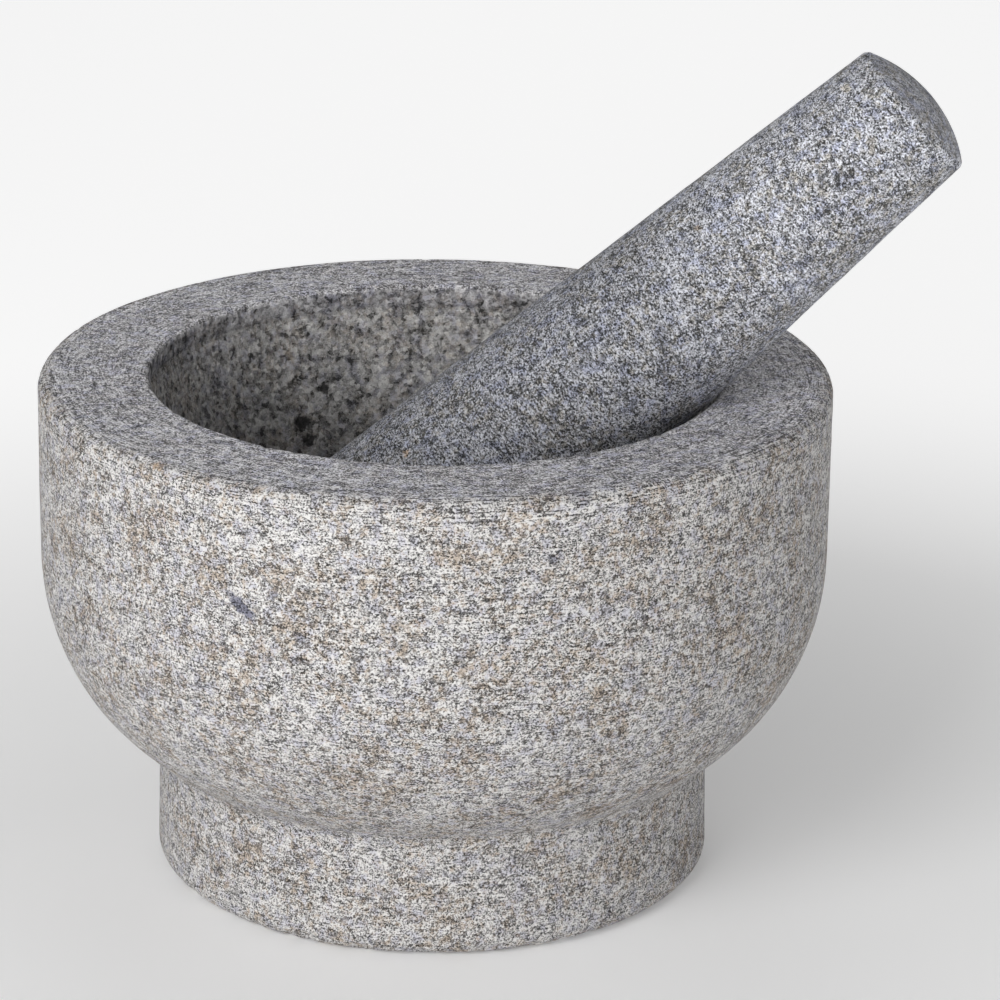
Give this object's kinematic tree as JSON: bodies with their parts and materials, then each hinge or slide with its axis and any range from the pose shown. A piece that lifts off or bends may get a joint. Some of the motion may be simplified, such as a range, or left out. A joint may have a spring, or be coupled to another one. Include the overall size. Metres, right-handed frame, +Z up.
{
  "type": "molcajete",
  "caption": "Footed granite molcajete: a thick turned stone bowl with a flat rim and a hollow above its foot, and a loose tapered stone pestle leaning in it.",
  "frame": {"origin": "centre of the foot's flat underside, on the bowl's own axis", "axes": "+Z up along the bowl's axis, +X towards the side where the pestle leans, -Y towards the viewer"},
  "size_m": [0.2279, 0.2, 0.2166],
  "materials": {
    "mortar_granite": "unpolished turned granite, fine salt and pepper grain with tan and blue-grey patches",
    "pestle_granite": "unpolished ground granite, cooler and more even grey, fine crisp grain"
  },
  "bodies": {
    "mortar_body": {"mortar": "mortar_granite"},
    "pestle_body": {"pestle": "pestle_granite"}
  },
  "joints": [
    {"name": "pestle_lift", "type": "slide", "parent": "mortar_body", "child": "pestle_body", "axis": [0, 0, 1], "range_m": [0, 0.12]}
  ]
}
